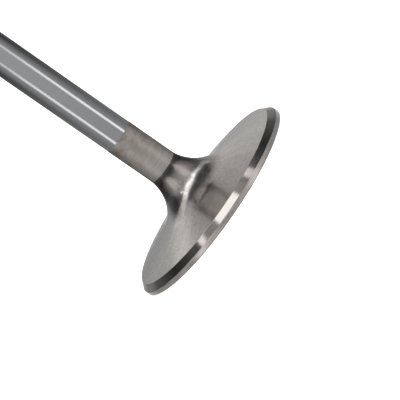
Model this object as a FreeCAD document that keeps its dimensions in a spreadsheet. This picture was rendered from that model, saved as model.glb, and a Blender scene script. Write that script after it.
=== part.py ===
"""Engine intake valve with one keeper groove, forged and ground from a single piece of steel.

Millimetres. +Z runs up the stem. The origin is the centre of the flat combustion face,
so the valve stands on its head, as it does on a bench.
"""
import FreeCAD, Part
import math
import os

import Sketcher

# Driving dimensions: name, value in millimetres or degrees, what it measures
SIZES = [
    ("overall_length", 124.74, "combustion face to the ground tip"),
    ("head_diameter", 52.83, "outside of the margin"),
    ("margin_height", 1.29, "upright rim between the face and the seat"),
    ("face_edge_break", 0.15, "chamfer round the combustion face"),
    ("seat_angle", 45.0, "slope of the ground seat from the plane of the head"),
    ("seat_width", 2.06, "ground seat, measured along its slope"),
    ("underhead_angle", 12.0, "slope of the back of the head from its plane"),
    ("neck_radius", 10.4, "fillet from the back of the head into the stem"),
    ("stem_diameter", 8.674, "ground stem that runs in the guide"),
    ("keeper_land", 6.35, "ground tip to the keeper groove"),
    ("keeper_groove_width", 3.05, "height of the square keeper groove"),
    ("keeper_groove_depth", 0.75, "depth of the keeper groove below the stem"),
    ("keeper_corner_radius", 0.35, "fillet in both corners of the keeper groove"),
    ("tip_chamfer", 0.8, "chamfer round the ground tip"),
]

# Ends of a sketch edge, and the sketch's own origin
START, END = 1, 2
SKETCH_ORIGIN, ORIGIN_POINT = -1, 1

FULL_TURN = 360
MATCH = 1e-4


def make_sheet(doc):
    """Write the driving dimensions to a spreadsheet, with one alias for each."""
    sheet = doc.addObject("Spreadsheet::Sheet", "sizes")
    sheet.Label = "sizes"
    for row, (name, value, note) in enumerate(SIZES, start=1):
        sheet.set(f"A{row}", name)
        sheet.set(f"B{row}", str(value))
        sheet.set(f"C{row}", note)
        sheet.setAlias(f"B{row}", name)
    doc.recompute()
    return sheet


def origin_item(body, role):
    """One of the body's own origin planes or axes."""
    return next(item for item in body.Origin.OriginFeatures if item.Role == role)


def add_sketch(body, name):
    """Empty sketch on the body's upright plane: x is the radius, y is the height."""
    sketch = body.newObject("Sketcher::SketchObject", name)
    sketch.AttachmentSupport = [(origin_item(body, "XZ_Plane"), "")]
    sketch.MapMode = "FlatFace"
    return sketch


def add_line(sketch, start, end):
    """Straight edge between two (radius, height) points."""
    line = Part.LineSegment(FreeCAD.Vector(*start, 0), FreeCAD.Vector(*end, 0))
    return sketch.addGeometry(line, False)


def constrain(sketch, kind, *where):
    """Add a constraint that has no size of its own."""
    sketch.addConstraint(Sketcher.Constraint(kind, *where))


def drive(sketch, name, expression, kind, *where):
    """Add a named dimension and bind it to the sheet."""
    index = sketch.addConstraint(Sketcher.Constraint(kind, *where))
    sketch.renameConstraint(index, name)
    sketch.setExpression(f"Constraints.{name}", expression)


def draw_valve_outline(sketch, sheet):
    """Half section of the valve: face, margin, seat, back of the head, neck fillet, stem, tip."""
    head_radius = sheet.head_diameter / 2
    stem_radius = sheet.stem_diameter / 2
    seat_angle = math.radians(sheet.seat_angle)
    back_angle = math.radians(sheet.underhead_angle)

    # Corners worked out from the sizes, so that the outline starts close to its solved form
    seat_inner = (
        head_radius - sheet.seat_width * math.cos(seat_angle),
        sheet.margin_height + sheet.seat_width * math.sin(seat_angle),
    )
    neck_centre_radius = stem_radius + sheet.neck_radius
    neck_foot_radius = neck_centre_radius - sheet.neck_radius * math.sin(back_angle)
    neck_foot_height = seat_inner[1] + (seat_inner[0] - neck_foot_radius) * math.tan(back_angle)
    neck_top_height = neck_foot_height + sheet.neck_radius * math.cos(back_angle)
    neck_foot = (neck_foot_radius, neck_foot_height)
    neck_top = (stem_radius, neck_top_height)

    axis_bottom = (0, 0)
    axis_top = (0, sheet.overall_length)
    tip_corner = (stem_radius, sheet.overall_length)
    face_corner = (head_radius, 0)
    margin_top = (head_radius, sheet.margin_height)

    face = add_line(sketch, axis_bottom, face_corner)
    margin = add_line(sketch, face_corner, margin_top)
    seat = add_line(sketch, margin_top, seat_inner)
    back = add_line(sketch, seat_inner, neck_foot)
    neck_circle = Part.Circle(
        FreeCAD.Vector(neck_centre_radius, neck_top_height, 0),
        FreeCAD.Vector(0, 0, 1),
        sheet.neck_radius,
    )
    neck = sketch.addGeometry(Part.ArcOfCircle(neck_circle, math.pi, 1.5 * math.pi - back_angle), False)
    stem = add_line(sketch, neck_top, tip_corner)
    tip = add_line(sketch, tip_corner, axis_top)
    axis = add_line(sketch, axis_top, axis_bottom)

    constrain(sketch, "Coincident", face, START, SKETCH_ORIGIN, ORIGIN_POINT)
    constrain(sketch, "Coincident", face, END, margin, START)
    constrain(sketch, "Coincident", margin, END, seat, START)
    constrain(sketch, "Coincident", seat, END, back, START)
    constrain(sketch, "Tangent", back, END, neck, END)
    constrain(sketch, "Tangent", neck, START, stem, START)
    constrain(sketch, "Coincident", stem, END, tip, START)
    constrain(sketch, "Coincident", tip, END, axis, START)
    constrain(sketch, "Coincident", axis, END, face, START)
    for level in (face, tip):
        constrain(sketch, "Horizontal", level)
    for upright in (margin, stem, axis):
        constrain(sketch, "Vertical", upright)

    drive(sketch, "head_radius", "<<sizes>>.head_diameter / 2", "Distance", face, head_radius)
    drive(sketch, "margin_height", "<<sizes>>.margin_height", "Distance", margin, sheet.margin_height)
    drive(sketch, "seat_width", "<<sizes>>.seat_width", "Distance", seat, sheet.seat_width)
    drive(sketch, "seat_slope", "180 - <<sizes>>.seat_angle", "Angle", seat, math.pi - seat_angle)
    drive(sketch, "back_slope", "180 - <<sizes>>.underhead_angle", "Angle", back, math.pi - back_angle)
    drive(sketch, "neck_radius", "<<sizes>>.neck_radius", "Radius", neck, sheet.neck_radius)
    drive(sketch, "stem_radius", "<<sizes>>.stem_diameter / 2", "Distance", tip, stem_radius)
    drive(sketch, "length", "<<sizes>>.overall_length", "Distance", axis, sheet.overall_length)


def draw_keeper_groove(sketch, sheet):
    """Section of the keeper groove; it runs as far outside the stem as it cuts into it."""
    stem_radius = sheet.stem_diameter / 2
    inner = stem_radius - sheet.keeper_groove_depth
    outer = stem_radius + sheet.keeper_groove_depth
    top = sheet.overall_length - sheet.keeper_land
    bottom = top - sheet.keeper_groove_width

    lower_wall = add_line(sketch, (inner, bottom), (outer, bottom))
    open_side = add_line(sketch, (outer, bottom), (outer, top))
    upper_wall = add_line(sketch, (outer, top), (inner, top))
    root = add_line(sketch, (inner, top), (inner, bottom))

    edges = (lower_wall, open_side, upper_wall, root)
    for edge, following in zip(edges, edges[1:] + edges[:1]):
        constrain(sketch, "Coincident", edge, END, following, START)
    for level in (lower_wall, upper_wall):
        constrain(sketch, "Horizontal", level)
    for upright in (open_side, root):
        constrain(sketch, "Vertical", upright)

    drive(sketch, "groove_width", "<<sizes>>.keeper_groove_width", "Distance", root, top - bottom)
    drive(sketch, "cutter_reach", "2 * <<sizes>>.keeper_groove_depth", "Distance", upper_wall, outer - inner)
    drive(
        sketch, "root_radius", "<<sizes>>.stem_diameter / 2 - <<sizes>>.keeper_groove_depth",
        "DistanceX", SKETCH_ORIGIN, ORIGIN_POINT, root, START, inner,
    )
    drive(
        sketch, "groove_top", "<<sizes>>.overall_length - <<sizes>>.keeper_land",
        "DistanceY", SKETCH_ORIGIN, ORIGIN_POINT, root, START, top,
    )


def turned_edge(feature, radius, height):
    """Name of the feature's circular edge that has this radius and lies at this height."""
    for number, edge in enumerate(feature.Shape.Edges, start=1):
        if not isinstance(edge.Curve, Part.Circle):
            continue
        at_radius = math.isclose(edge.Curve.Radius, radius, abs_tol=MATCH)
        at_height = math.isclose(edge.Curve.Center.z, height, abs_tol=MATCH)
        if at_radius and at_height:
            return f"Edge{number}"
    raise RuntimeError(f"{feature.Name} has no edge of radius {radius} at height {height}")


def turn(doc, body, kind, name, sketch):
    """Full turn of a sketch about the stem's axis: a Revolution adds it, a Groove cuts it."""
    feature = body.newObject(kind, name)
    feature.Profile = sketch
    feature.ReferenceAxis = (origin_item(body, "Z_Axis"), [""])
    feature.Angle = FULL_TURN
    doc.recompute()
    return feature


def dress(doc, body, kind, name, size_property, size_name, edges):
    """Fillet or chamfer some edges of the body, with the size bound to the sheet."""
    base = body.Tip
    feature = body.newObject(kind, name)
    feature.Base = (base, edges)
    feature.setExpression(size_property, f"<<sizes>>.{size_name}")
    doc.recompute()
    return feature


def make_valve(doc, sheet):
    """Blank with its head, then the keeper groove, its corners and the broken edges."""
    body = doc.addObject("PartDesign::Body", "engine_valve")
    body.Label = "engine_valve"
    stem_radius = sheet.stem_diameter / 2
    groove_root = stem_radius - sheet.keeper_groove_depth
    groove_top = sheet.overall_length - sheet.keeper_land
    groove_bottom = groove_top - sheet.keeper_groove_width

    outline = add_sketch(body, "valve_outline")
    draw_valve_outline(outline, sheet)
    blank = turn(doc, body, "PartDesign::Revolution", "forged_blank", outline)

    groove_section = add_sketch(body, "keeper_groove_section")
    draw_keeper_groove(groove_section, sheet)
    groove = turn(doc, body, "PartDesign::Groove", "keeper_groove", groove_section)
    if groove.Shape.Volume >= blank.Shape.Volume:
        raise RuntimeError("the keeper groove removed nothing")

    corners = [turned_edge(groove, groove_root, height) for height in (groove_bottom, groove_top)]
    dress(doc, body, "PartDesign::Fillet", "keeper_corners", "Radius", "keeper_corner_radius", corners)

    tip_edge = turned_edge(body.Tip, stem_radius, sheet.overall_length)
    dress(doc, body, "PartDesign::Chamfer", "tip_chamfer", "Size", "tip_chamfer", [tip_edge])

    face_edge = turned_edge(body.Tip, sheet.head_diameter / 2, 0)
    dress(doc, body, "PartDesign::Chamfer", "face_edge", "Size", "face_edge_break", [face_edge])
    return body


def check(doc, parts):
    """Stop if any feature failed, or if a part isn't one sound solid."""
    for item in doc.Objects:
        if "Invalid" in item.State or "Error" in item.State:
            raise RuntimeError(f"{item.Name} failed: {item.State}")
    for part in parts:
        if part.Shape.isNull() or not part.Shape.isValid():
            raise RuntimeError(f"{part.Label} has no valid shape")
        if len(part.Shape.Solids) != 1:
            raise RuntimeError(f"{part.Label} has {len(part.Shape.Solids)} solids")


def export(parts):
    """Write each part to its own STEP file, named by its label."""
    os.makedirs("parts", exist_ok=True)
    for part in parts:
        part.Shape.exportStep(f"parts/{part.Label}.step")
        box = part.Shape.BoundBox
        size = f"{box.XLength:.2f} x {box.YLength:.2f} x {box.ZLength:.2f} mm"
        print(f"{part.Label}: {size}, {part.Shape.Volume:.1f} mm3, {len(part.Shape.Faces)} faces")


document = FreeCAD.newDocument("engine_valve_model")
sizes = make_sheet(document)
valve = make_valve(document, sizes)
document.recompute()
check(document, [valve])
export([valve])
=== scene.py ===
import math

import bmesh
import bpy
from mathutils import Matrix, Vector


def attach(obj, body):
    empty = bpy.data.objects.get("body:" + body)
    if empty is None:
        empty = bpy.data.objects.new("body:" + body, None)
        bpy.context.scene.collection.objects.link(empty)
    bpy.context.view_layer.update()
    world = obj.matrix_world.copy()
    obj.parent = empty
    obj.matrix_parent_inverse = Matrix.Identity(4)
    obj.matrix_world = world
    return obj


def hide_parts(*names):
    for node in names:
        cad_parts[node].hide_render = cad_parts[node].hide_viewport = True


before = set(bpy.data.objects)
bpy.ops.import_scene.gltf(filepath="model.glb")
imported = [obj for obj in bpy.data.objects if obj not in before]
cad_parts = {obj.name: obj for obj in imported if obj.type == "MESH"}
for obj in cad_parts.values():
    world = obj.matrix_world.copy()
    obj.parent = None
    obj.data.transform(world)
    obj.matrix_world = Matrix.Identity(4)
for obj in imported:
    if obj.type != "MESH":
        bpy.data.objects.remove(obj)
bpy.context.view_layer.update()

MM = 0.001

# Camera. A long lens looks at the head from 11.6 degrees above the bench, and is rolled so
# that the stem leaves the picture at its upper left. The last four sizes are in pixels of
# the picture, and set the head's size and place in it.
CAMERA_ELEVATION = math.radians(11.6)
CAMERA_ROLL = math.radians(55.26)
CAMERA_DISTANCE = 660.4 * MM
SENSOR_WIDTH = 36.0
HEAD_RADIUS = 26.415 * MM
HEAD_RADIUS_IN_PICTURE = 111.92
HEAD_RIGHT_OF_MIDDLE = 13.04
HEAD_BELOW_MIDDLE = 2.18
PICTURE_WIDTH = 400

level_right = Vector((1, 0, 0))
level_up = Vector((0, math.sin(CAMERA_ELEVATION), math.cos(CAMERA_ELEVATION)))
towards_camera = Vector((0, -math.cos(CAMERA_ELEVATION), math.sin(CAMERA_ELEVATION)))
picture_right = math.cos(CAMERA_ROLL) * level_right - math.sin(CAMERA_ROLL) * level_up
picture_up = math.sin(CAMERA_ROLL) * level_right + math.cos(CAMERA_ROLL) * level_up
pixel = HEAD_RADIUS / HEAD_RADIUS_IN_PICTURE

camera_data = bpy.data.cameras.new("camera")
camera_data.sensor_width = SENSOR_WIDTH
camera_data.lens = CAMERA_DISTANCE / pixel / PICTURE_WIDTH * SENSOR_WIDTH
camera = bpy.data.objects.new("camera", camera_data)
bpy.context.scene.collection.objects.link(camera)
camera.matrix_world = Matrix.LocRotScale(
    towards_camera * CAMERA_DISTANCE
    - picture_right * HEAD_RIGHT_OF_MIDDLE * pixel
    + picture_up * HEAD_BELOW_MIDDLE * pixel,
    Matrix((picture_right, picture_up, towards_camera)).transposed(),
    None,
)
bpy.context.scene.camera = camera
bpy.context.scene.view_settings.view_transform = "Standard"


# Floor. A plain white light table, seen by the camera and lit from above. The metal doesn't
# mirror it, so that the steel shows only the studio's tones, as it does in a light tent.
def linear(hex_colour):
    """sRGB hex colour as the linear red, green, blue and alpha that a shader takes."""
    parts = [int(hex_colour[place:place + 2], 16) / 255 for place in (1, 3, 5)]
    curved = [part / 12.92 if part <= 0.04045 else ((part + 0.055) / 1.055) ** 2.4 for part in parts]
    return (*curved, 1.0)


def add(tree, kind, settings=None, **inputs):
    """Add a node with its own settings and its inputs, each a value or a socket to link.

    An input goes by its name, with _ for a space, or by its number, as i0."""
    node = tree.nodes.new(kind)
    for name, value in (settings or {}).items():
        setattr(node, name, value)
    for name, value in inputs.items():
        name = int(name[1:]) if name[0] == "i" and name[1:].isdigit() else name.replace("_", " ")
        if isinstance(value, bpy.types.NodeSocket):
            tree.links.new(value, node.inputs[name])
        else:
            node.inputs[name].default_value = value
    return node


FLOOR_SIZE = 8.0
FLOOR_GAP = 0.02 * MM
FLOOR_GLOW = 0.35
FLOOR_WHITE = "#F4F4F4"

floor_mesh = bpy.data.meshes.new("floor")
sheet = bmesh.new()
bmesh.ops.create_grid(sheet, x_segments=1, y_segments=1, size=FLOOR_SIZE / 2)
bmesh.ops.translate(sheet, verts=sheet.verts, vec=(0, 0, -FLOOR_GAP))
sheet.to_mesh(floor_mesh)
sheet.free()
floor = bpy.data.objects.new("floor", floor_mesh)
bpy.context.scene.collection.objects.link(floor)
floor.visible_glossy = False

floor_paint = bpy.data.materials.new("floor_white")
floor_paint.use_nodes = True
tree = floor_paint.node_tree
tree.nodes.clear()
glow = add(tree, "ShaderNodeEmission", Color=linear(FLOOR_WHITE), Strength=FLOOR_GLOW)
matt = add(tree, "ShaderNodeBsdfDiffuse", Color=linear(FLOOR_WHITE))
both = add(tree, "ShaderNodeAddShader", i0=glow.outputs[0], i1=matt.outputs[0])
add(tree, "ShaderNodeOutputMaterial", Surface=both.outputs[0])
floor_mesh.materials.append(floor_paint)

# Studio. White to the camera. The metal mirrors three scales of tone instead, each from -1,
# straight down, to 1, straight up: the camera's side, both sides and the rear. In front of
# them hang soft cards and lamps, which only the metal shows.
WORLD_STRENGTH = 2.0
WORLD_HEIGHTS = (-0.80, -0.45, -0.2, -0.11, -0.01, 0.12, 0.30, 0.47, 0.68, 0.88, 0.985)
WORLD_TONES = {
    "front": (0.5, 1.5, 0.261, 0.637, 0.141, 0.033, 0.14, 0.55, 0.95, 0.16, 0.061),
    "side": (0.3, 1.0, 0.399, 0.043, 0.098, 0.015, 0.131, 0.105, 0.034, 0.079, 0.079),
    "rear": (0.3, 1.097, 0.945, 0.09, 0.352, 0.273, 0.414, 0.431, 0.306, 0.294, 0.05),
}
FRONT_TO_SIDE = (-0.85, 0.2)
SIDE_TO_REAR = (0.8, 0.96)
FAR_AWAY = 900

world = bpy.data.worlds.new("studio")
bpy.context.scene.world = world
world.use_nodes = True
tree = world.node_tree
tree.nodes.clear()
direction = add(tree, "ShaderNodeTexCoord").outputs["Generated"]
parts = add(tree, "ShaderNodeSeparateXYZ", Vector=direction)
height = add(tree, "ShaderNodeMapRange", Value=parts.outputs["Z"], From_Min=-1.0, From_Max=1.0)
scales = {}
for side, tones in WORLD_TONES.items():
    scale = add(tree, "ShaderNodeValToRGB", Fac=height.outputs[0])
    stops = scale.color_ramp.elements
    stops.remove(stops[1])
    for place, tone in zip(WORLD_HEIGHTS, tones):
        stop = stops[0] if place == WORLD_HEIGHTS[0] else stops.new((place + 1) / 2)
        stop.position = (place + 1) / 2
        stop.color = (*[tone / WORLD_STRENGTH] * 3, 1)
    scales[side] = scale.outputs[0]
heading = add(tree, "ShaderNodeVectorMath", {"operation": "MULTIPLY"}, i0=direction, i1=(1, 1, 0))
heading = add(tree, "ShaderNodeVectorMath", {"operation": "NORMALIZE"}, i0=heading.outputs[0])
parts = add(tree, "ShaderNodeSeparateXYZ", Vector=heading.outputs[0])
to_side = add(
    tree, "ShaderNodeMapRange", Value=parts.outputs["Y"],
    From_Min=FRONT_TO_SIDE[0], From_Max=FRONT_TO_SIDE[1],
)
to_rear = add(
    tree, "ShaderNodeMapRange", Value=parts.outputs["Y"],
    From_Min=SIDE_TO_REAR[0], From_Max=SIDE_TO_REAR[1],
)
mixed = add(
    tree, "ShaderNodeMix", {"data_type": "RGBA"},
    i0=to_side.outputs[0], i6=scales["front"], i7=scales["side"],
)
mixed = add(
    tree, "ShaderNodeMix", {"data_type": "RGBA"},
    i0=to_rear.outputs[0], i6=mixed.outputs[2], i7=scales["rear"],
)
sight = add(tree, "ShaderNodeLightPath")
white = add(tree, "ShaderNodeBackground", Color=(1, 1, 1, 1), Strength=1.0)
room = add(tree, "ShaderNodeBackground", Color=mixed.outputs[2], Strength=WORLD_STRENGTH)
seen = add(
    tree, "ShaderNodeMixShader", i0=sight.outputs["Is Camera Ray"], i1=room.outputs[0], i2=white.outputs[0],
)
add(tree, "ShaderNodeOutputWorld", Surface=seen.outputs[0])


def far(azimuth, height):
    """Point in millimetres, far away; azimuth 0 is the camera's side and 90 is +X."""
    a, h = math.radians(azimuth), math.radians(height)
    return Vector((math.sin(a) * math.cos(h), -math.cos(a) * math.cos(h), math.sin(h))) * FAR_AWAY


def over(right, back, height=120):
    """Point in millimetres over the head."""
    return Vector((right, back, height))


def card(name, start, end, width, radiance, colour="#FFFFFF", shape="RECTANGLE"):
    """Long soft light of one width between two points in millimetres, facing the head.

    Between two points of the same height it faces straight down instead."""
    along = end - start
    length = along.length
    centre = (start + end) / 2
    along.normalize()
    facing = Vector((0, 0, 1)) if start.z == end.z else centre
    away = (facing - along * facing.dot(along)).normalized()
    across = away.cross(along)
    data = bpy.data.lights.new(name, "AREA")
    data.shape = shape
    data.size = length * MM
    data.size_y = width * MM
    area = data.size * data.size_y * (math.pi / 4 if shape == "ELLIPSE" else 1)
    data.energy = radiance * math.pi * area
    data.color = linear(colour)[:3]
    lamp = bpy.data.objects.new(name, data)
    bpy.context.scene.collection.objects.link(lamp)
    lamp.matrix_world = Matrix.LocRotScale(centre * MM, Matrix((along, across, away)).transposed(), None)
    lamp.visible_camera = False
    lamp.visible_diffuse = False


# Far cards. The stem mirrors the strips as two bright lines, the top of the neck mirrors the
# blobs, and the back of the head and the seat mirror the walls behind the valve.
STRIP_TINT = "#F6F6FA"
BLOB_TINT = "#FAF0F2"
WALL_TINT = "#F5F4F2"

card("strip_right", far(46.8, -18), far(46.8, -3), 235, 1.189, STRIP_TINT)
card("strip_left", far(-46.8, -18), far(-46.8, -3), 235, 1.05, STRIP_TINT)
card("blob_right", far(88, 9), far(82, 34), 760, 0.42, BLOB_TINT, "ELLIPSE")
card("blob_right_core", far(59, 10), far(38, 47), 540, 1.2, BLOB_TINT, "ELLIPSE")
card("blob_left", far(-70, 10), far(-62, 46), 760, 0.26, BLOB_TINT, "ELLIPSE")
card("blob_left_core", far(-43, 13), far(-41, 46), 560, 0.98, BLOB_TINT, "ELLIPSE")
card("wall_middle", far(180, 0), far(180, 58), 620, 0.035, WALL_TINT)
card("wall_wide", far(180, -2), far(180, 40), 1240, 0.025, WALL_TINT)
card("wall_right", far(172, 2), far(172, 30), 260, 0.166, WALL_TINT)
card("wall_side", far(155, 30), far(155, 48), 380, 0.14, WALL_TINT)
card("wall_foot", far(180, -10), far(180, -3), 500, 0.703, WALL_TINT)

# Box over the front of the head, which the seat mirrors as a bright block, and its halo.
BOX_TINT = "#FFFFFD"
HALO_TINT = "#FFF8F2"

card("box_top", over(5, -56), over(5, -43.5), 53, 1.695, BOX_TINT)
card("box_halo", over(3, -64), over(3, -38), 118, 0.255, HALO_TINT)

# A bow of short straight lamps, which the neck mirrors as a crescent. Each row has the end
# of one lamp to the right and to the back, where the next starts, its width and radiance.
BOW_HEIGHT = 80
BOW_START = (-38.3, 40.1)
BOW_LAMPS = (
    (-36.5, 20.0, 18.8, 0.763),
    (-32.2, 5.7, 17.3, 0.67),
    (-27.3, -9.0, 16.3, 1.14),
    (-19.9, -18.7, 16.1, 1.75),
    (-10.2, -25.1, 16.9, 1.53),
    (0.0, -26.9, 17.2, 1.33),
    (11.2, -26.3, 14.8, 1.3),
    (22.2, -26.2, 14.2, 1.3),
    (34.0, -24.2, 12.8, 1.75),
    (45.9, -18.9, 12.5, 1.964),
    (55.8, -8.6, 11.8, 1.399),
    (64.4, 5.0, 11.4, 1.283),
    (73.0, 21.2, 14.1, 0.892),
)

card("bow_1", over(-39.0, 65.5, BOW_HEIGHT), over(-39.3, 40.1, BOW_HEIGHT), 19.8, 0.5)
start = over(*BOW_START, BOW_HEIGHT)
for number, (right, back, width, radiance) in enumerate(BOW_LAMPS, 2):
    end = over(right, back, BOW_HEIGHT)
    card(f"bow_{number}", start, end, width, radiance)
    start = end

# Tails that carry the bow on round the rear, a glow inside it, and two short lines, which the
# seat mirrors on both sides of the block.
LINE_TINT = "#FBF7F7"

card("tail_left_near", over(-37.5, 65.5, BOW_HEIGHT), over(-29, 82, 66), 20, 0.23)
card("tail_left_far", over(-30, 81, 67), over(-17, 86, 57), 18, 0.383)
card("tail_right_near", over(73, 21, BOW_HEIGHT), over(78, 41, 77), 15, 0.456)
card("tail_right_middle", over(78, 40, 78), over(73, 60, 68), 15, 0.302)
card("tail_right_far", over(73, 60, 68), over(62, 78, 56), 18, 0.349)
card("glow_left", over(-27, 18, BOW_HEIGHT), over(-25, 78, BOW_HEIGHT), 20, 0.2)
card("line_right", over(71.5, -44), over(70, -20), 18, 0.842, LINE_TINT)
card("line_left", over(-58, -46), over(-56, -24), 18, 1.34, LINE_TINT)

# Key lamp, a large disk that lights the floor from above and that the metal doesn't mirror.
KEY_WIDTH = 2.2
KEY_WATTS = 50
KEY_HEIGHT = 1.6

key_data = bpy.data.lights.new("key", "AREA")
key_data.shape = "DISK"
key_data.size = KEY_WIDTH
key_data.energy = KEY_WATTS
key = bpy.data.objects.new("key", key_data)
bpy.context.scene.collection.objects.link(key)
key.location = (0, 0, KEY_HEIGHT)
key.visible_camera = False
key.visible_glossy = False


# Valve. One bar of stainless valve steel, upset and forged to a head, then turned and ground
# all over. Its outline is drawn once, from the combustion face up to the tip, its sharp edges
# are eased as a stone leaves them, and it is swept round the stem's axis.
STEM_RADIUS = 4.337 * MM
MARGIN_HEIGHT = 1.29 * MM
SEAT_WIDTH = 2.06 * MM
SEAT_ANGLE = math.radians(45)
BACK_ANGLE = math.radians(12)
NECK_RADIUS = 10.4 * MM
LENGTH = 124.74 * MM
KEEPER_LAND = 6.35 * MM
GROOVE_WIDTH = 3.05 * MM
GROOVE_DEPTH = 0.75 * MM
GROOVE_CORNER = 0.35 * MM
TIP_CHAMFER = 0.8 * MM
FACE_BREAK = 0.15 * MM
EASED_EDGE = 0.06 * MM
POLISH_TOP = 14.7 * MM
PLATE_END = 27.7 * MM
ROUND_STEPS = 320
NECK_STEPS = 64
CORNER_STEPS = 20
EASED_STEPS = 3
WELD_DISTANCE = 0.001 * MM
CUT_TOLERANCE = 0.0001 * MM
SHARP_ANGLE = math.radians(5)

seat_inner_radius = HEAD_RADIUS - SEAT_WIDTH * math.cos(SEAT_ANGLE)
seat_top = MARGIN_HEIGHT + SEAT_WIDTH * math.sin(SEAT_ANGLE)
neck_centre_radius = STEM_RADIUS + NECK_RADIUS
neck_foot_radius = neck_centre_radius - NECK_RADIUS * math.sin(BACK_ANGLE)
neck_foot = seat_top + (seat_inner_radius - neck_foot_radius) * math.tan(BACK_ANGLE)
neck_top = neck_foot + NECK_RADIUS * math.cos(BACK_ANGLE)
groove_top = LENGTH - KEEPER_LAND
groove_bottom = groove_top - GROOVE_WIDTH
groove_root = STEM_RADIUS - GROOVE_DEPTH

blank = bmesh.new()
corners_to_ease = []


def go_to(last, radius, height, eased=False):
    """Straight cut from the last point of the outline to a radius and height."""
    point = blank.verts.new((radius, 0, height))
    blank.edges.new((last, point))
    if eased:
        corners_to_ease.append(point)
    return point


def go_round(last, radius, height, angle, steps):
    """Round cut: turn the last point about a centre by an angle, in degrees."""
    made = bmesh.ops.spin(
        blank, geom=[last], cent=(radius, 0, height), axis=(0, 1, 0),
        angle=math.radians(angle), steps=steps, use_merge=False, use_duplicate=False,
    )
    return next(item for item in made["geom_last"] if isinstance(item, bmesh.types.BMVert))


point = blank.verts.new((0, 0, 0))
point = go_to(point, HEAD_RADIUS - FACE_BREAK, 0)
point = go_to(point, HEAD_RADIUS, FACE_BREAK)
point = go_to(point, HEAD_RADIUS, MARGIN_HEIGHT, eased=True)
point = go_to(point, seat_inner_radius, seat_top, eased=True)
point = go_to(point, neck_foot_radius, neck_foot)
point = go_round(point, neck_centre_radius, neck_top, 90 - math.degrees(BACK_ANGLE), NECK_STEPS)
point = go_to(point, STEM_RADIUS, PLATE_END)
point = go_to(point, STEM_RADIUS, groove_bottom, eased=True)
point = go_to(point, groove_root + GROOVE_CORNER, groove_bottom)
point = go_round(point, groove_root + GROOVE_CORNER, groove_bottom + GROOVE_CORNER, 90, CORNER_STEPS)
point = go_to(point, groove_root, groove_top - GROOVE_CORNER)
point = go_round(point, groove_root + GROOVE_CORNER, groove_top - GROOVE_CORNER, 90, CORNER_STEPS)
point = go_to(point, STEM_RADIUS, groove_top, eased=True)
point = go_to(point, STEM_RADIUS, LENGTH - TIP_CHAMFER, eased=True)
point = go_to(point, STEM_RADIUS - TIP_CHAMFER, LENGTH, eased=True)
point = go_to(point, 0, LENGTH)

bmesh.ops.bevel(
    blank, geom=corners_to_ease, offset=EASED_EDGE, segments=EASED_STEPS,
    profile=0.5, affect="VERTICES", material=-1,
)
bmesh.ops.spin(
    blank, geom=blank.verts[:] + blank.edges[:], cent=(0, 0, 0), axis=(0, 0, 1),
    angle=math.tau, steps=ROUND_STEPS, use_merge=True,
)
bmesh.ops.remove_doubles(blank, verts=blank.verts, dist=WELD_DISTANCE)

# The polish ends just below the top of the neck fillet, so a cut there gives it an edge.
bmesh.ops.bisect_plane(
    blank, geom=blank.verts[:] + blank.edges[:] + blank.faces[:],
    dist=CUT_TOLERANCE, plane_co=(0, 0, POLISH_TOP), plane_no=(0, 0, 1),
)
bmesh.ops.recalc_face_normals(blank, faces=blank.faces)

FINISHES = (
    "turned_face", "turned_margin", "ground_seat", "swirl_polished_neck",
    "ground_stem", "hard_chrome_stem", "turned_keeper_groove", "ground_tip",
)


def finish_at(centre):
    """Name of the finish at a point of the surface."""
    if centre.z < FACE_BREAK:
        return "turned_face"
    if centre.z < MARGIN_HEIGHT:
        return "turned_margin"
    if centre.z < seat_top:
        return "ground_seat"
    if centre.z < POLISH_TOP:
        return "swirl_polished_neck"
    if centre.z < PLATE_END:
        return "ground_stem"
    if centre.z > LENGTH - EASED_EDGE / 10:
        return "ground_tip"
    if groove_bottom < centre.z < groove_top and math.hypot(centre.x, centre.y) < STEM_RADIUS - EASED_EDGE:
        return "turned_keeper_groove"
    return "hard_chrome_stem"


for face in blank.faces:
    face.smooth = True
    face.material_index = FINISHES.index(finish_at(face.calc_center_median()))

valve_mesh = bpy.data.meshes.new("valve_steel")
blank.to_mesh(valve_mesh)
blank.free()
valve_mesh.set_sharp_from_angle(angle=SHARP_ANGLE)
valve = bpy.data.objects.new("valve_steel", valve_mesh)
bpy.context.scene.collection.objects.link(valve)


def begin(name):
    """New material: its node tree, and the place on the valve in millimetres."""
    material = bpy.data.materials.new(name)
    material.use_nodes = True
    material.node_tree.nodes.clear()
    place = add(material.node_tree, "ShaderNodeTexCoord")
    place = add(
        material.node_tree, "ShaderNodeVectorMath", {"operation": "SCALE"},
        i0=place.outputs["Object"], Scale=1 / MM,
    )
    return material.node_tree, place.outputs[0]


def lines_round(tree, place, spacing, length, detail=3.0, roughness=0.6):
    """Uneven lines round the valve, so far apart and so long in millimetres, from 0 to 1."""
    stretched = add(
        tree, "ShaderNodeVectorMath", {"operation": "MULTIPLY"},
        i0=place, i1=(1 / length, 1 / length, 1 / spacing),
    )
    lines = add(
        tree, "ShaderNodeTexNoise", Vector=stretched.outputs[0],
        Scale=1.0, Detail=detail, Roughness=roughness,
    )
    return lines.outputs[0]


def tool_rings(tree, distance, spacing):
    """Even rings that a turning tool leaves along a distance in millimetres, from 0 to 1."""
    waves = add(tree, "ShaderNodeMath", {"operation": "MULTIPLY"}, i0=distance, i1=math.tau / spacing)
    waves = add(tree, "ShaderNodeMath", {"operation": "SINE"}, i0=waves.outputs[0])
    waves = add(tree, "ShaderNodeMapRange", Value=waves.outputs[0], From_Min=-1.0)
    return waves.outputs[0]


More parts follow.
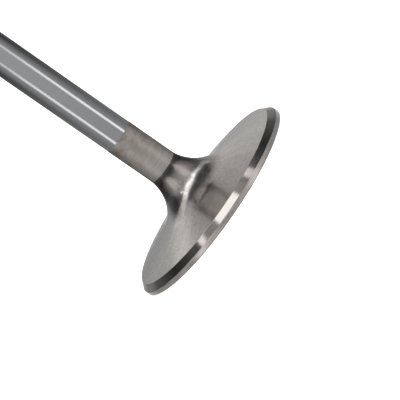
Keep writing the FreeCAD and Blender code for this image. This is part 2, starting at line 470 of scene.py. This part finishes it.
def steel(tree, marks, colours, roughness, depth, edge="#FFFFFF"):
    """Metal whose colour, gloss and relief follow one pattern of marks, from 0 to 1.

    Gives its shader, colour and roughness, for a finish that changes them further."""
    colour = add(
        tree, "ShaderNodeMix", {"data_type": "RGBA"}, i0=marks, i6=linear(colours[0]), i7=linear(colours[1]),
    )
    gloss = add(tree, "ShaderNodeMapRange", Value=marks, To_Min=roughness[0], To_Max=roughness[1])
    relief = add(tree, "ShaderNodeBump", Height=marks, Distance=depth * MM, Strength=1.0)
    metal = add(
        tree, "ShaderNodeBsdfPrincipled", Base_Color=colour.outputs[2], Metallic=1.0,
        Roughness=gloss.outputs[0], Normal=relief.outputs[0], Specular_Tint=linear(edge),
    )
    add(tree, "ShaderNodeOutputMaterial", Surface=metal.outputs[0])
    return metal, colour.outputs[2], gloss.outputs[0]


# Hard chrome stem. A few micrometres of chrome, ground between wheels and polished: a cool,
# glossy mirror with a faint shimmer along it. The real lines round it are far too fine to
# show, so they are drawn coarser.
CHROME_LINE_SPACING = 0.5
CHROME_LINE_LENGTH = 9.0
CHROME_COLOURS = ("#BEBFC2", "#CACACC")
CHROME_ROUGHNESS = (0.13, 0.15)
CHROME_RELIEF = 0.0006

tree, place = begin("hard_chrome_stem")
lines = lines_round(tree, place, CHROME_LINE_SPACING, CHROME_LINE_LENGTH)
steel(tree, lines, CHROME_COLOURS, CHROME_ROUGHNESS, CHROME_RELIEF)


# Bare stem. Below the chrome the stem is ground only: dull, warm and darker at its edges.
# Towards the chrome it darkens, and heat has tinted it brown in patches. Its lines are drawn
# coarser than real, so that they show.
GROUND_LINE_SPACING = 0.45
GROUND_LINE_LENGTH = 4.0
GROUND_COLOURS = ("#A49F99", "#D7D2CC")
GROUND_EDGE = "#747474"
GROUND_ROUGHNESS = (0.43, 0.55)
GROUND_RELIEF = 0.006
HEAT_BROWN = "#937C70"
HEAT_PATCH_SIZE = 1.9
HEAT_PATCH_RANGE = (0.4, 0.72)
HEAT_START = POLISH_TOP / MM + 2
HEAT_LEAST = 0.1
HEAT_MOST = 0.8
TONE_AT_NECK = 1.06
TONE_AT_CHROME = 0.87

tree, place = begin("ground_stem")
lines = lines_round(tree, place, GROUND_LINE_SPACING, GROUND_LINE_LENGTH, detail=4.0, roughness=0.65)
metal, colour = steel(tree, lines, GROUND_COLOURS, GROUND_ROUGHNESS, GROUND_RELIEF, GROUND_EDGE)[:2]
patches = add(tree, "ShaderNodeTexNoise", Vector=place, Scale=1 / HEAT_PATCH_SIZE, Detail=3.0, Roughness=0.6)
patches = add(
    tree, "ShaderNodeMapRange", Value=patches.outputs[0],
    From_Min=HEAT_PATCH_RANGE[0], From_Max=HEAT_PATCH_RANGE[1], To_Max=HEAT_MOST,
)
parts = add(tree, "ShaderNodeSeparateXYZ", Vector=place)
near_chrome = add(
    tree, "ShaderNodeMapRange", Value=parts.outputs["Z"],
    From_Min=HEAT_START, From_Max=PLATE_END / MM, To_Min=HEAT_LEAST, To_Max=1.0,
)
heat = add(
    tree, "ShaderNodeMath", {"operation": "MULTIPLY"}, i0=patches.outputs[0], i1=near_chrome.outputs[0],
)
tinted = add(
    tree, "ShaderNodeMix", {"data_type": "RGBA"}, i0=heat.outputs[0], i6=colour, i7=linear(HEAT_BROWN),
)
tone = add(
    tree, "ShaderNodeMapRange", Value=parts.outputs["Z"],
    From_Min=POLISH_TOP / MM, From_Max=PLATE_END / MM, To_Min=TONE_AT_NECK, To_Max=TONE_AT_CHROME,
)
toned = add(
    tree, "ShaderNodeVectorMath", {"operation": "SCALE"}, i0=tinted.outputs[2], Scale=tone.outputs[0],
)
tree.links.new(toned.outputs[0], metal.inputs["Base Color"])


# Neck and back of the head. Polished on a soft wheel while the valve turns: bright, with
# streaks that swirl slightly from the neck to the seat, and a fine mottle, both drawn coarser
# than real. Towards the top of the neck its colour is darker and its gloss hazier.
SWIRL_TURN = 0.02
SWIRL_STREAKS = 16.0
SWIRL_STREAK_LENGTH = 9.0
SWIRL_SCALE = 0.55
MOTTLE_SIZE = 0.8
MOTTLE_RANGE = (0.3, 0.7)
MOTTLE_SHARE = 0.4
NECK_COLOURS = ("#9C9894", "#E6E2DE")
NECK_ROUGHNESS = (0.13, 0.21)
NECK_RELIEF = 0.0022
DULL_RADII = (8.0, 16.0)
DULL_MOST = 0.06
TOP_RADII = (5.6, 6.8)
TOP_HAZE = 0.15
TOP_TONE = 0.55
TOP_RING_RADII = (4.55, 4.85)
TOP_RING_HAZE = 0.04

tree, place = begin("swirl_polished_neck")
flat = add(tree, "ShaderNodeVectorMath", {"operation": "MULTIPLY"}, i0=place, i1=(1, 1, 0))
radius = add(tree, "ShaderNodeVectorMath", {"operation": "LENGTH"}, i0=flat.outputs[0]).outputs["Value"]
turn = add(tree, "ShaderNodeMath", {"operation": "MULTIPLY"}, i0=radius, i1=SWIRL_TURN)
around = add(tree, "ShaderNodeVectorMath", {"operation": "NORMALIZE"}, i0=flat.outputs[0])
around = add(
    tree, "ShaderNodeVectorRotate", {"rotation_type": "Z_AXIS"}, i0=around.outputs[0], Angle=turn.outputs[0],
)
around = add(tree, "ShaderNodeVectorMath", {"operation": "SCALE"}, i0=around.outputs[0], Scale=SWIRL_STREAKS)
along = add(tree, "ShaderNodeMath", {"operation": "DIVIDE"}, i0=radius, i1=SWIRL_STREAK_LENGTH)
lift = add(tree, "ShaderNodeCombineXYZ", Z=along.outputs[0])
swirled = add(tree, "ShaderNodeVectorMath", {"operation": "ADD"}, i0=around.outputs[0], i1=lift.outputs[0])
streaks = add(
    tree, "ShaderNodeTexNoise", Vector=swirled.outputs[0], Scale=SWIRL_SCALE, Detail=5.0, Roughness=0.62,
)
mottle = add(tree, "ShaderNodeTexNoise", Vector=place, Scale=1 / MOTTLE_SIZE, Detail=4.0, Roughness=0.7)
mottle = add(
    tree, "ShaderNodeMapRange", Value=mottle.outputs[0], From_Min=MOTTLE_RANGE[0], From_Max=MOTTLE_RANGE[1],
)
marks = add(tree, "ShaderNodeMix", Factor=MOTTLE_SHARE, A=streaks.outputs[0], B=mottle.outputs[0])
metal, colour, roughness = steel(tree, marks.outputs[0], NECK_COLOURS, NECK_ROUGHNESS, NECK_RELIEF)
duller = add(
    tree, "ShaderNodeMapRange", Value=radius,
    From_Min=DULL_RADII[0], From_Max=DULL_RADII[1], To_Max=DULL_MOST,
)
duller = add(tree, "ShaderNodeMath", {"operation": "ADD"}, i0=roughness, i1=duller.outputs[0])
top_haze = add(
    tree, "ShaderNodeMapRange", Value=radius,
    From_Min=TOP_RADII[0], From_Max=TOP_RADII[1], To_Min=TOP_HAZE, To_Max=0.0,
)
ring_haze = add(
    tree, "ShaderNodeMapRange", Value=radius,
    From_Min=TOP_RING_RADII[0], From_Max=TOP_RING_RADII[1], To_Min=TOP_RING_HAZE, To_Max=TOP_HAZE,
)
haze = add(tree, "ShaderNodeMath", {"operation": "MINIMUM"}, i0=top_haze.outputs[0], i1=ring_haze.outputs[0])
hazier = add(tree, "ShaderNodeMath", {"operation": "ADD"}, i0=duller.outputs[0], i1=haze.outputs[0])
tree.links.new(hazier.outputs[0], metal.inputs["Roughness"])
# Colour scaled down to TOP_TONE towards the top of the neck, inside TOP_RADII.
tone = add(
    tree, "ShaderNodeMapRange", Value=radius,
    From_Min=TOP_RADII[0], From_Max=TOP_RADII[1], To_Min=TOP_TONE, To_Max=1.0,
)
toned = add(tree, "ShaderNodeVectorMath", {"operation": "SCALE"}, i0=colour, Scale=tone.outputs[0])
tree.links.new(toned.outputs[0], metal.inputs["Base Color"])


# Seat. The 45 degree face that seals, ground last with a fine wheel: the brightest mirror on
# the valve. The faint lines round it are drawn coarser than real, so that they show.
SEAT_LINE_SPACING = 0.35
SEAT_LINE_LENGTH = 14.0
SEAT_COLOURS = ("#BDB8B4", "#CDC9C5")
SEAT_ROUGHNESS = (0.09, 0.13)
SEAT_RELIEF = 0.001

tree, place = begin("ground_seat")
lines = lines_round(tree, place, SEAT_LINE_SPACING, SEAT_LINE_LENGTH)
steel(tree, lines, SEAT_COLOURS, SEAT_ROUGHNESS, SEAT_RELIEF)


# Margin. The rim below the seat, turned to the head's diameter: duller than the seat, with
# the tool's broken lines round it, drawn coarser than real so that they show.
MARGIN_LINE_SPACING = 0.4
MARGIN_LINE_LENGTH = 5.0
MARGIN_LINE_RANGE = (0.3, 0.7)
MARGIN_COLOURS = ("#A8A19B", "#DAD4CF")
MARGIN_ROUGHNESS = (0.27, 0.33)
MARGIN_RELIEF = 0.002

tree, place = begin("turned_margin")
lines = lines_round(tree, place, MARGIN_LINE_SPACING, MARGIN_LINE_LENGTH)
marks = add(
    tree, "ShaderNodeMapRange", Value=lines, From_Min=MARGIN_LINE_RANGE[0], From_Max=MARGIN_LINE_RANGE[1],
)
steel(tree, marks.outputs[0], MARGIN_COLOURS, MARGIN_ROUGHNESS, MARGIN_RELIEF)


# Combustion face. Faced on a lathe, so the tool has left rings from the rim to the middle:
# a dull, even sheen. The rings are drawn a few times as far apart as a real feed.
FACE_RING_SPACING = 0.55
FACE_COLOURS = ("#AFAAA5", "#C2BDB8")
FACE_ROUGHNESS = (0.28, 0.34)
FACE_RELIEF = 0.004

tree, place = begin("turned_face")
flat = add(tree, "ShaderNodeVectorMath", {"operation": "MULTIPLY"}, i0=place, i1=(1, 1, 0))
radius = add(tree, "ShaderNodeVectorMath", {"operation": "LENGTH"}, i0=flat.outputs[0]).outputs["Value"]
rings = tool_rings(tree, radius, FACE_RING_SPACING)
steel(tree, rings, FACE_COLOURS, FACE_ROUGHNESS, FACE_RELIEF)


# Keeper groove. Turned near the tip, where the two keepers clasp the stem: dull, with rings
# up its wall that are drawn wider than a real feed.
GROOVE_RING_SPACING = 0.28
GROOVE_COLOURS = ("#A8A39E", "#BEB9B4")
GROOVE_ROUGHNESS = (0.28, 0.36)
GROOVE_RELIEF = 0.003

tree, place = begin("turned_keeper_groove")
parts = add(tree, "ShaderNodeSeparateXYZ", Vector=place)
rings = tool_rings(tree, parts.outputs["Z"], GROOVE_RING_SPACING)
steel(tree, rings, GROOVE_COLOURS, GROOVE_ROUGHNESS, GROOVE_RELIEF)


# Tip. Hardened and ground flat, so it is a soft mirror with the wheel's straight scratches
# across it, drawn coarser than real so that they show.
TIP_SCRATCH_SPACING = 0.22
TIP_SCRATCH_LENGTH = 6.0
TIP_COLOURS = ("#B8B3AE", "#CAC6C2")
TIP_ROUGHNESS = (0.18, 0.26)
TIP_RELIEF = 0.002

tree, place = begin("ground_tip")
stretched = add(
    tree, "ShaderNodeVectorMath", {"operation": "MULTIPLY"}, i0=place,
    i1=(1 / TIP_SCRATCH_LENGTH, 1 / TIP_SCRATCH_SPACING, 1),
)
scratches = add(
    tree, "ShaderNodeTexNoise", Vector=stretched.outputs[0], Scale=1.0, Detail=3.0, Roughness=0.6,
)
steel(tree, scratches.outputs[0], TIP_COLOURS, TIP_ROUGHNESS, TIP_RELIEF)

for finish in FINISHES:
    valve_mesh.materials.append(bpy.data.materials[finish])

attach(valve, "root")
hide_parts("engine_valve")
